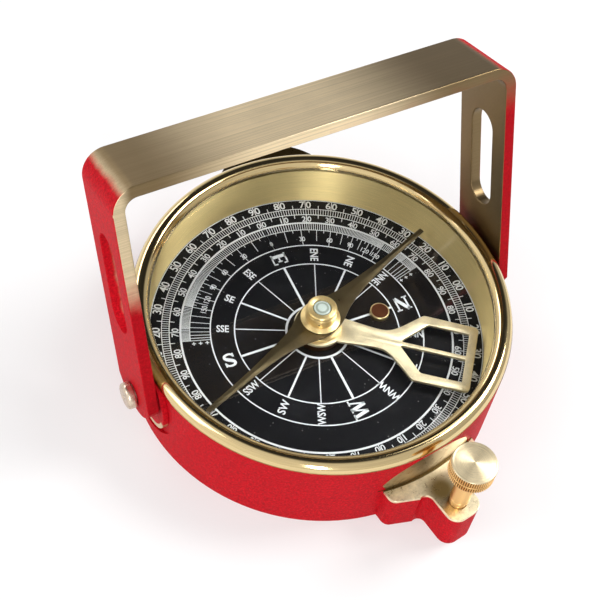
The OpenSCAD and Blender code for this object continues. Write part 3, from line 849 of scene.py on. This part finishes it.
# straight strokes of the large letters, one unit high: both ends' x and y, and the width if not SLAB
BARS = {
    "N": ((-0.34, -0.5, -0.34, 0.5, 0.12), (0.34, -0.5, 0.34, 0.5, 0.12), (-0.32, 0.5, 0.32, -0.5, PEN),
          (-0.52, 0.45, -0.16, 0.45), (-0.52, -0.45, -0.16, -0.45), (0.16, 0.45, 0.52, 0.45)),
    "E": ((-0.22, -0.5, -0.22, 0.5, PEN), (-0.42, 0.45, 0.40, 0.45), (-0.42, -0.45, 0.40, -0.45),
          (-0.2, 0.0, 0.22, 0.0), (0.36, 0.5, 0.36, 0.22), (0.36, -0.5, 0.36, -0.22), (0.2, 0.14, 0.2, -0.14)),
    "S": ((0.31, 0.16, 0.31, 0.44, 0.09), (-0.33, -0.14, -0.33, -0.45, 0.09)),
    "W": ((-0.50, 0.5, -0.27, -0.5, 0.216), (-0.25, -0.5, 0.0, 0.42), (0.0, 0.5, 0.25, -0.5, 0.216),
          (0.27, -0.5, 0.52, 0.5), (-0.70, 0.45, -0.30, 0.45), (-0.16, 0.45, 0.14, 0.45), (0.34, 0.45, 0.70, 0.45)),
}
S_KNOTS = np.array([
    [0.30, 0.22], [0.22, 0.38], [0.0, 0.43], [-0.24, 0.36], [-0.27, 0.18], [-0.10, 0.05], [0.12, -0.06],
    [0.28, -0.20], [0.24, -0.37], [0.0, -0.43], [-0.24, -0.37], [-0.32, -0.20]])


def serif_letter(letter, size):
    """The strokes of a heavy slab letter, centred, times the size. The S has a swelling curve too."""
    strokes = [stroke([bar[:2], bar[2:4]], (*bar, SLAB)[4]) for bar in BARS[letter]]
    if letter == "S":
        u, knot = np.linspace(0, 1, 33), np.linspace(0, 1, len(S_KNOTS))
        path = np.stack([np.interp(u, knot, S_KNOTS[:, k]) for k in (0, 1)], -1)
        path[1:-1] = (path[:-2] + 2 * path[1:-1] + path[2:]) / 4
        strokes.insert(0, stroke(path, 0.13 + 0.11 * np.exp(-((u - 0.5) / 0.2) ** 2)))
    return [(points * size, faces) for points, faces in strokes]


def scales(deg, thin, big):
    """The circles, ticks and figures of the degree and slope scales."""
    parts = [arc_band(r, width) for r, width in (
        (RIM, 0.20), (DEGREES_OUT, 0.17), (DEGREES_IN, 0.20), (SLOPE_OUT, 0.42), (ROSE, 0.26),
        (SPOKE_OUT, 0.26), (SPOKE_IN, 0.5))]
    # one degree band, five and ten degree ticks on both its sides
    tens, fives = np.arange(0, 360, 10) + deg, np.arange(5, 360, 10) + deg
    parts.append(tick_marks(np.arange(360) + deg, DEGREES_IN, DEGREES_OUT, thin))
    for angles, r0, r1 in ((tens, DEGREES_OUT, RIM), (fives, DEGREES_OUT, 34.0),
                           (tens, SLOPE_OUT, DEGREES_IN), (fives, 30.3, DEGREES_IN)):
        parts.append(tick_marks(angles, r0, r1, thin * 1.3))
    # outer degrees from the north-south line and inner slope degrees from the east-west line, each
    # figure in two halves either side of its tick
    for k in range(36):
        a = 10 * k + deg
        inner = abs((10 * k) % 180 - 90)
        for value, size, r, apart in ((90 - inner, big, 34.2, 0.72), (inner, 1.5, 30.12, 0.62)):
            shift = degrees(apart / r)
            for words, at in zip(f"{value:02d}", (a + shift, a - shift)):
                parts.append(placed(lettering(words, size, 0.012), r, at, at - 90, 0.95))
    return parts


def tangents(deg, thin):
    """The slope scale by the tangent, both ways from the east line, to its end at 360 per cent."""
    east, last = 90 + deg, 3.6
    both = lambda p: np.concatenate([east + np.degrees(np.arctan(p)), east - np.degrees(np.arctan(p))])
    fine = np.concatenate([np.arange(0, 1.5, 0.02), np.arange(1.5, 2.5, 0.05), np.arange(2.5, 3.61, 0.1)])
    whole = np.append(np.arange(1, 13) * 0.3, 0.0)
    parts = [tick_marks(both(p), r0, r1, thin) for p, r0, r1 in (
        (fine, SLOPE_IN, SLOPE_OUT), (whole, ROSE, SLOPE_IN), (np.arange(0.15, 1.5, 0.3), 24.0, SLOPE_IN),
        (np.arange(0.075, 1.5, 0.15), 26.3, SLOPE_IN))]
    end = degrees(atan(last))
    parts.append(arc_band(SLOPE_IN, 0.16, east - end, east + end))
    for k, p in enumerate((0.0, 0.3, 0.6, 0.9, 1.2, 1.5)):
        for side in ((1, -1) if k else (1,)):
            a = east + side * degrees(atan(p))
            parts.append(placed(lettering(str(30 * k), 1.25, 0.012), 24.55, a, a - 90, 0.8))
    for side in (1, -1):
        for r in (26.4, 25.0, 23.6):
            a = east + side * (end + 1.7)
            parts.append(placed(lettering("+", 0.8, 0.02), r, a, a - 90))
    return parts


def rose(deg):
    """Sixteen spokes and points, read towards the centre, east and west interchanged."""
    parts = []
    for k, words in enumerate("N NNE NE ENE E ESE SE SSE S SSW SW WSW W WNW NW NNW".split()):
        a = 22.5 * k + deg
        parts.append(tick_marks([a], SPOKE_IN, SPOKE_OUT, (0.5, 0.2, 0.4, 0.2)[k % 4]))
        if k % 4 == 0:
            parts += [placed(mark, 20.2, a, a + 180) for mark in serif_letter(words, 3.4)]
        else:
            squeeze = 0.80 if len(words) > 2 else 0.95
            parts.append(placed(lettering(words, 1.75, 0.02), 20.15, a, a + 180, squeeze))
    return parts


def copper_head():
    """The dial screw: a dished head inside a fine rim, its shank, and a short raised line for its slot."""
    low, high = reach("dial_screw")
    centre = (low[:2] + high[:2]) / 2
    top, r, shank, under = high[2], (high[0] - low[0]) / 2, 1.15, DIAL_Z + 0.02
    head = [[0.0, low[2]], [shank, low[2]], [shank, under], [r, under], [r, top - 0.14], [r - 0.1, top - 0.02],
            [r - 0.22, top], [r - 0.34, top - 0.08], [0.0, top - 0.1]]
    along, across = np.array([[0, -0.045], [1.7, -0.045], [1.7, 0.045], [0, 0.045]]).T
    line = spun(along, across, top + np.array([-0.09, -0.075, -0.075, -0.09]), radians(55)) + [*centre, 0]
    return turned(head, 96, False, centre), (line, [[0, 1, 2, 3]])


class COMPASS_OT_dial(Operator):
    """Black dial plate with its printed scales, the bronzed centre boss and the copper screw"""
    bl_idname = "compass.dial"
    bl_label = "Dial"

    def execute(self, context):
        coat(frame["nodes"]["dial_plate"].data, "enamel")
        d = settings("dial")
        deg, thin = degrees(d.turn), d.line / MM
        marks = scales(deg, thin, d.figure / MM) + tangents(deg, thin) + rose(deg)
        mesh = sheet([(points + [0, 0, DIAL_Z + 0.012], faces) for points, faces in marks])
        with editing(mesh) as work:
            bmesh.ops.reverse_faces(work, faces=[f for f in work.faces if f.normal.z < 0])
        keep(mesh, "dial_print", "case", "ink")
        dressed("centre_boss", "bronzed_boss", "case", "copper", ease=0.12)
        keep(skin(*copper_head()), "copper_screw", "case", "copper_head", ("dial_screw",), 25)
        dressed("pendulum_collar", "boss_collar", "case", "cap", ease=0.1)
        return {"FINISHED"}


def needle_arms(low):
    """The needle's blade. Its section is a low roof, flat below, with a smoothed half width, and its
    arms rise from the hub by a smooth step."""
    p = np.linspace(-1, 1, 201) * NEEDLE_LENGTH
    far = np.abs(p)
    w = np.interp(far, [0, 1.5, 3.4, 5, 6.5, 9, 12, 16, 20, 26, NEEDLE_LENGTH],
                  [4.4, 4.25, 3.75, 3.05, 2.5, 1.95, 1.5, 1.12, 0.86, 0.66, 0.56])
    kernel = np.hanning(11)
    smooth = np.convolve(np.pad(w, 5, mode="edge"), kernel / kernel.sum(), mode="valid")
    w = np.where(far > NEEDLE_LENGTH - 1, w, smooth)
    step = np.clip((far - 4) / 10, 0, 1)
    rise = low + NEEDLE_RISE * step * step * (3 - 2 * step)
    edge = np.interp(far, [0, 6, NEEDLE_LENGTH], [0.40, 0.24, 0.20])
    ridge = edge + np.interp(far, [0, 7, NEEDLE_LENGTH], [0.16, 0.20, 0.07])
    flat, lip = 0 * w, 0 * w + 0.06
    across = np.outer(w, [-0.9, -1, -1, -0.12, 0.12, 1, 1, 0.9])
    up = np.stack([flat, lip, edge, ridge, ridge, edge, lip, flat], -1)
    body, quads = grid(spun(p[:, None] + 0 * across, across, rise[:, None] + up, NEEDLE_TURN), False, True)
    n = across.shape[1]
    return body, quads.tolist() + [list(range(n)), list(range(len(body) - n, len(body)))]


class COMPASS_OT_needle(Operator):
    """Ridged needle blade, turned cap with its lens, and the works under it"""
    bl_idname = "compass.needle"
    bl_label = "Needle"

    def execute(self, context):
        blade = skin(needle_arms(levels("needle_blade")[0]))
        keep(blade, "needle_blade_ridged", "needle", "needle", ("needle_blade",), 9)
        bottom, top = levels("needle_cap")
        seat = bottom + 1.1
        cap = soften([
            [1.12, bottom], [2.55, bottom], [2.55, seat], [4.2, seat], [4.2, seat + 0.12], [3.75, seat + 0.3],
            [3.35, seat + 0.52], [2.8, seat + 0.6], [2.8, top - 3.0], [3.25, top - 2.95], [3.25, top - 0.95],
            [3.12, top - 0.9], [3.12, top - 0.78], [3.18, top - 0.72], [3.18, top - 0.28], [2.95, top],
            [1.98, top], [1.9, top - 0.7], [1.12, top - 0.7]], 0.05, 2)
        keep(skin(turned(cap, 160)), "cap_turned", "needle", "cap", ("needle_cap",), 35)
        # a dark disc on the cap's side, painted shade standing for a small hole
        around, up = (circle(20, 0.2) + [0, top - 2.0]).T
        hole = upright(rays(radians(-125) + around / 3.26, 3.262), up[:, None])
        keep(sheet([(hole, [range(20)])]), "cap_hole", "needle", "pit")
        bottom, top = levels("cap_lens")
        r, edge = 1.88, bottom + 0.42
        a = np.linspace(0, pi / 2, 14)
        dome = np.stack([r * np.sin(a), edge + (top - edge) * np.cos(a) ** 2], -1)
        lens = np.concatenate([[[0.0, bottom], [r, bottom]], dome[::-1]])
        keep(skin(turned(lens, 96, wrap=False)), "cap_window", "needle", "lens", ("cap_lens",), 40)
        for node, finish in (("cap_jewel", "jewel"), ("pivot_pin", "steel"), ("lifter_sleeve", "plate"),
                             ("lifter_lever", "plate"), ("fulcrum_pin", "steel"), ("screw_pad", "plate")):
            coat(frame["nodes"][node].data, finish)
        leaf = dressed("lever_spring", "spring_leaf", "case", "steel")
        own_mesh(leaf)
        return {"FINISHED"}


def flat_plate(loops, low, high, ease):
    """A plate with eased rims from closed outlines, the first outside and the others holes: a filled
    flat curve, extruded to the height."""
    curve = bpy.data.curves.new("outlines", "CURVE")
    curve.dimensions, curve.fill_mode = "2D", "BOTH"
    curve.extrude, curve.bevel_depth, curve.bevel_resolution = (high - low) / 2 - ease, ease, 2
    curve.offset = -ease
    for loop in loops:
        spline = curve.splines.new("POLY")
        spline.points.add(len(loop) - 1)
        spline.points.foreach_set("co", np.concatenate([upright(loop), np.ones((len(loop), 1))], -1).ravel())
        spline.use_cyclic_u = True
    points, faces = filled(curve)
    return points + [0, 0, (low + high) / 2], faces


def pendulum_loops():
    """Outlines of the pendulum along and across its arm: the hub, the waisted arm and the frame, two
    windows either side of the index bar, and the eye in the hub."""
    tip, wide, bar, mirror = 33.35, 8.15, 0.45, [1, -1]
    arm = np.array([[4.3, 3.1], [7.5, 2.75], [10.5, 2.42], [13.4, 2.28], [15.2, 2.75], [17.2, 4.25],
                    [21.3, wide + 0.1], [tip, wide]])
    ease = np.array([0.6, 3, 3, 2.5, 2.5, 2.5, 0.5, 1.1])
    side = soften(np.concatenate([arm, arm[::-1] * mirror]), np.concatenate([ease, ease[::-1]]), 8)
    side = side[side[:, 0] > 4.4]
    first = atan2(side[0, 1], side[0, 0])
    a = np.linspace(TURN - first, first, 64)[1:-1]
    arc = rays(a, HUB_R)
    window = soften([[17.75, bar + 0.35], [22.7, 6.15], [31.55, 6.15], [31.55, bar], [18.0, bar]],
                    [0.1, 0.5, 0.3, 0.3, 0.1], 3)
    return [np.concatenate([side, arc]), window, window * mirror, circle(48, 2.45)]


class COMPASS_OT_pendulum(Operator):
    """The pendulum's plate with its open frame and index"""
    bl_idname = "compass.pendulum"
    bl_label = "Pendulum"

    def execute(self, context):
        points, faces = flat_plate(pendulum_loops(), *levels("pendulum"), 0.14)
        plate = skin((spun(*points.T, PENDULUM_TURN), faces))
        keep(plate, "pendulum_plate", "pendulum", "pendulum", ("pendulum",))
        return {"FINISHED"}


def knurled_profile():
    """The thumb screw from its foot to the middle of its top: radius, height and share of the knurl."""
    foot, r = levels("thumb_screw")[0], 4.495
    shaft = [
        (0.0, foot, 0), (1.55, foot, 0), (1.75, foot + 0.2, 0), (1.75, 11.3, 0), (1.8, 11.45, 0),
        (1.95, 11.75, 0), (1.95, 12.6, 0), (1.85, 12.75, 0), (1.85, 12.95, 0), (1.95, 13.1, 0)]
    head = [
        (1.95, -1.1, 0), (1.82, -0.9, 0), (1.82, -0.2, 0), (2.1, 0, 0), (4.1, 0, 0), (4.3, 0.06, 0.3),
        (4.46, 0.2, 0.9), (r, 0.3, 1), (r, 1.5, 1), (4.42, 1.6, 0.7), (4.26, 1.66, 0), (4.26, 1.72, 0),
        (4.42, 1.78, 0), (4.46, 1.88, 0), (4.42, 1.98, 0), (4.26, 2.04, 0), (4.26, 2.1, 0), (4.42, 2.16, 0.7),
        (r, 2.26, 1), (r, 3.6, 1), (4.46, 3.74, 0.6), (4.44, 3.9, 0), (4.36, 4.04, 0), (4.24, 4.1, 0),
        (4.1, 4.1, 0), (3.9, 4.07, 0), (3.8, 4.1, 0), (2.8, 4.16, 0), (1.4, 4.22, 0), (0.4, 4.25, 0), (0.0, 4.25, 0)]
    return np.array(shaft + [(radius, THUMB_TOP - 4.1 + up, share) for radius, up, share in head])


class COMPASS_OT_thumb_screw(Operator):
    """Thumb screw with two knurled bands and a turned top"""
    bl_idname = "compass.thumb_screw"
    bl_label = "Thumb screw"

    def execute(self, context):
        k = settings("knurl")
        radius, height, share = knurled_profile().T
        a = np.linspace(0, TURN, k.teeth * 6, endpoint=False)[:, None]
        tooth = np.abs(((a * k.teeth / TURN) % 1.0) - 0.5) * 2
        r = radius - (1 - tooth) * k.depth / MM * share
        points = upright(rays(a, r) + THUMB[:2], height[:, None])
        knob = skin(grid(points, True, False))
        keep(knob, "thumb_knob", "screw", "thumb", ("thumb_screw",), 28)
        return {"FINISHED"}


def hinge_head(side):
    """One hinge screw: a flat topped dome with a small pit, on its shoulder and thread, turned about X."""
    thread, shoulder, pit, top = 1.25, 1.95, 0.46, HEAD_IN + HEAD_H
    outline = soften(
        [[0.0, 36.4], [thread, 36.4], [thread, 39.4], [shoulder, 39.4], [shoulder, HEAD_IN], [2.7, HEAD_IN],
         [2.8, HEAD_IN + 0.12], [2.8, top - 0.62], [2.66, top - 0.28], [2.3, top - 0.06], [1.6, top], [0.60, top],
         [pit, top - 0.1], [pit, top - 0.75], [0.0, top - 0.8]],
        [0, 0.05, 0, 0, 0, 0.05, 0.1, 0.3, 0.3, 0.3, 0.2, 0.08, 0.05, 0.05, 0], 4)
    points, quads = turned(outline, 96, wrap=False)
    return np.stack([side * points[:, 2], points[:, 0], HINGE_Z + points[:, 1]], -1), quads


class COMPASS_OT_bail(Operator):
    """Bail strap with its painted sides, and the two hinge screws"""
    bl_idname = "compass.bail"
    bl_label = "Bail"

    def execute(self, context):
        piece = dressed("bail", "bail_strap", "bail", "bail", ease=0.35, segments=3)
        c, n = face_data(piece.data)
        middle, inward, leg = 7, n[:, 0] * np.sign(c[:, 0]) < -0.3, np.abs(c[:, 0]) >= 39
        wide = n[:, 1] * cos(LEAN) - n[:, 2] * sin(LEAN)
        up = n[:, 1] * sin(LEAN) + n[:, 2] * cos(LEAN)
        across = c[:, 1] * cos(LEAN) - (c[:, 2] - HINGE_Z) * sin(LEAN)
        mark(piece.data, "edge_face", (np.abs(wide) > 0.7) & (np.abs(across) > middle))
        # the paint on front faces is darkened as painted shade
        mark(piece.data, "front_face", (wide < -0.7) & (across < -middle))
        slot = (np.abs(n[:, 0]) < 0.3) & (np.abs(across) < middle) & (c[:, 0] > 39)
        # inner faces stay bare; under the crossbar they also take painted shade
        mark(piece.data, "inner_face", inward | ((up < -0.3) & ~leg) | slot)
        # dark discs inside the screw heads' pits, painted shade at their floors
        ring = circle(24, 0.47)
        ring = np.stack([HEAD_IN + HEAD_H - 0.35 + 0 * ring[:, 0], ring[:, 0], HINGE_Z + ring[:, 1]], -1)
        pits = sheet([(ring, [range(24)]), (ring[::-1] * [-1, 1, 1], [range(24)])])
        keep(pits, "hinge_pits", "case", "pit")
        heads = skin(hinge_head(1), hinge_head(-1))
        keep(heads, "hinge_screws", "case", "screw", ("bail_screws",), 40)
        return {"FINISHED"}


# ---- stage


def soft_lamp(name, place, target, size, power):
    """An area lamp that faces the target."""
    data = bpy.data.lights.new(name, "AREA")
    data.shape, data.size, data.size_y = "RECTANGLE", size[0], size[1]
    data.energy = power
    lamp = link(name, data)
    lamp.location = place
    lamp.rotation_euler = (Vector(target) - Vector(place)).to_track_quat("-Z", "Y").to_euler()


def studio_world():
    """A pale tent with one dark part, which the glass and the flat metal mirror towards the camera."""
    world = bpy.data.worlds.new("Soft studio")
    world.use_nodes = True
    tree = world.node_tree
    x, y, z = put(tree, "ShaderNodeTexCoord")["Generated"].parts()
    near = z * 0.82 + (y * 0.47 + x * 0.33)
    level = (near.ramp(0.72, 0.93) * -0.84 + 0.88) * (x * -0.30 + 0.84)
    tone = put(tree, "ShaderNodeCombineColor", {0: level, 1: level, 2: level})
    wire(tree.nodes["Background"], {"Color": tone, "Strength": 1.0})
    return world


def photo_camera():
    """The camera at the photograph's angle."""
    v = settings("view")
    data = bpy.data.cameras.new("Photo angle")
    data.lens, data.sensor_width = v.lens, 36.0
    data.clip_start, data.clip_end = 0.01, 10.0
    camera = link("Photo angle", data)
    camera.matrix_world = Matrix.Translation(v.place)
    for turn, axis in ((v.azimuth, "Z"), (pi / 2 - v.elevation, "X"), (v.roll, "Z")):
        camera.matrix_world = camera.matrix_world @ Matrix.Rotation(turn, 4, axis)
    return camera


class COMPASS_OT_stage(Operator):
    """Pale floor, soft studio light and the camera at the photograph's angle"""
    bl_idname = "compass.stage"
    bl_label = "Stage"

    def execute(self, context):
        corners = np.array([[-1, -1, 0], [1, -1, 0], [1, 1, 0], [-1, 1, 0]]) * FLOOR_SIDE
        floor = link("floor", sheet([(corners, [range(4)])]))
        material, shader, _ = start("Pale floor", 0.0, 0.9)
        pale, glow = (0.50, 0.50, 0.50, 1.0), (0.40, 0.40, 0.40, 1.0)
        wire(shader, {"Base Color": pale, "Emission Color": glow, "Emission Strength": 1.0})
        floor.data.materials.append(material)
        scene = context.scene
        scene.world = studio_world()
        scene.view_settings.view_transform = "Standard"
        soft_lamp("Key", (0.376, -0.053, 0.48), (0, 0, 0), (0.20, 0.24), 2.2)
        soft_lamp("Strip", (-0.25, -0.545, 0.36), (0, 0, 0), (0.07, 0.34), 1.3)
        soft_lamp("Left", (-0.50, 0.05, 0.42), (0, 0, 0), (0.25, 0.40), 0.8)
        soft_lamp("Back", (-0.10, 0.60, 0.40), (0, 0, 0.01), (0.40, 0.14), 0.7)
        soft_lamp("Card", (0.0951, 0.0210, 0.2161), (*THUMB[:2] * MM, 0.02), (0.040, 0.036), 0.008)
        scene.camera = photo_camera()
        return {"FINISHED"}


class COMPASS_PT_panel(Panel):
    """Sizes, colours and steps of the compass"""
    bl_label = "Clinometer Compass"
    bl_idname = "COMPASS_PT_panel"
    bl_space_type = "VIEW_3D"
    bl_region_type = "UI"
    bl_category = "Compass"

    def draw(self, context):
        for name in GROUPS:
            box = self.layout.box()
            box.label(text=name.split("_")[1].title())
            group = getattr(context.scene, name)
            for key in group.__annotations__:
                box.prop(group, key)
        for step in STEPS:
            self.layout.operator(step.bl_idname)


STEPS = (COMPASS_OT_finishes, COMPASS_OT_stage, COMPASS_OT_case, COMPASS_OT_bezel, COMPASS_OT_dial, COMPASS_OT_needle,
         COMPASS_OT_pendulum, COMPASS_OT_thumb_screw, COMPASS_OT_bail)
GROUPS = {"compass_view": CompassView, "compass_dial": CompassDial, "compass_finish": CompassFinish,
          "compass_knurl": CompassKnurl}


def register():
    for cls in (*GROUPS.values(), *STEPS, COMPASS_PT_panel):
        bpy.utils.register_class(cls)
    for name, cls in GROUPS.items():
        setattr(bpy.types.Scene, name, PointerProperty(type=cls))


def unregister():
    for name in GROUPS:
        delattr(bpy.types.Scene, name)
    for cls in reversed((*GROUPS.values(), *STEPS, COMPASS_PT_panel)):
        bpy.utils.unregister_class(cls)


def main():
    register()
    for step in STEPS:
        area, label = step.bl_idname.split(".")
        if "FINISHED" not in getattr(getattr(bpy.ops, area), label)():
            raise RuntimeError(f"{label} did not finish")


if __name__ == "__main__":
    main()
